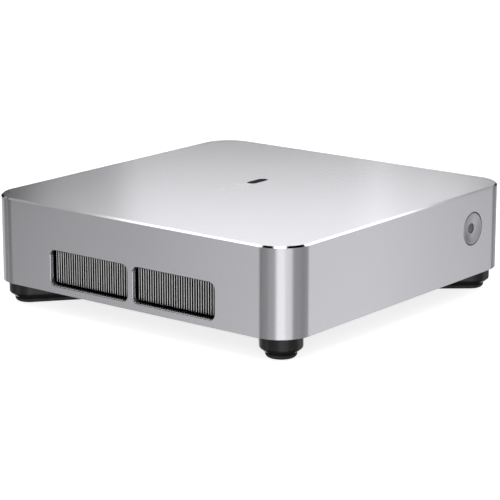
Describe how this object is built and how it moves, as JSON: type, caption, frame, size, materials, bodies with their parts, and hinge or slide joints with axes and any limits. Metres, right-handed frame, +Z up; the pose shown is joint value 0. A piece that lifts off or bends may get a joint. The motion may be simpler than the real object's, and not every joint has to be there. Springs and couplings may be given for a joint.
{
  "type": "mini pc",
  "caption": "Small square desktop computer in a metal case with a sprung power button, side exhaust vents, rear connectors, an inside blower and tall corner feet.",
  "frame": {"origin": "on the desk under the middle of the case, level with the undersides of the foot pads", "axes": "+Z up, -Y out of the front face with the power button, -X out of the exhaust vents, +Y out of the rear connectors"},
  "size_m": [0.128, 0.128, 0.0375],
  "materials": {
    "case_aluminium": "bead-blasted, clear anodised, satin",
    "fin_aluminium": "bare rolled sheet",
    "black_plastic": "moulded, fine texture",
    "port_plastic": "moulded, smooth",
    "foot_rubber": "matt",
    "lens": "frosted translucent grey",
    "steel": "plated",
    "port_steel": "plated sheet",
    "copper": "bare copper",
    "bronze": "sintered",
    "circuit_board": "solder mask, satin",
    "chip": "satin"
  },
  "bodies": {
    "case": {"top_shell": "case_aluminium", "bottom_cover": "black_plastic", "rear_panel": "black_plastic", "button_guide": "black_plastic", "power_switch": "steel", "fin_stack_front": "fin_aluminium", "fin_stack_rear": "fin_aluminium", "blower_housing": "black_plastic", "blower_cover": "black_plastic", "fan_bearing": "bronze", "fan_stator": "copper", "heat_pipe_front": "copper", "heat_pipe_rear": "copper", "cold_plate": "copper", "processor": "chip", "main_board": "circuit_board", "memory_socket_a": "black_plastic", "memory_module_a": "circuit_board", "memory_socket_b": "black_plastic", "memory_module_b": "circuit_board", "drive_socket": "black_plastic", "drive_card": "circuit_board", "drive_post": "steel", "wireless_socket": "black_plastic", "wireless_card": "circuit_board", "coin_cell_holder": "black_plastic", "coin_cell": "steel", "antenna_left": "copper", "antenna_right": "copper", "power_inlet": "port_plastic", "usb_c_port": "port_steel", "hdmi_stack": "port_steel", "ethernet_jack": "port_steel", "usb_stack_a": "port_steel", "usb_stack_b": "port_steel", "audio_jack": "port_plastic", "foot_base_front_left": "black_plastic", "foot_base_front_right": "black_plastic", "foot_base_rear_left": "black_plastic", "foot_base_rear_right": "black_plastic", "foot_pad_front_left": "foot_rubber", "foot_pad_front_right": "foot_rubber", "foot_pad_rear_left": "foot_rubber", "foot_pad_rear_right": "foot_rubber", "foot_screw_front_left": "steel", "foot_screw_front_right": "steel", "foot_screw_rear_left": "steel", "foot_screw_rear_right": "steel", "board_screw_front_left": "steel", "board_screw_front_right": "steel", "board_screw_rear_left": "steel", "board_screw_rear_right": "steel"},
    "power_button": {"power_button": "case_aluminium", "button_lens": "lens", "switch_plunger": "black_plastic"},
    "fan": {"fan_impeller": "black_plastic", "fan_shaft": "steel"}
  },
  "joints": [
    {"name": "power_button_press", "type": "slide", "parent": "case", "child": "power_button", "axis": [0, 1, 0], "range_m": [0, 0.0005], "stiffness_N_per_m": 2000, "springref_m": -0.0003},
    {"name": "fan_spin", "type": "hinge", "parent": "case", "child": "fan", "pos_m": [-0.0151, 0, 0.0139], "axis": [0, 0, 1], "continuous": true}
  ]
}
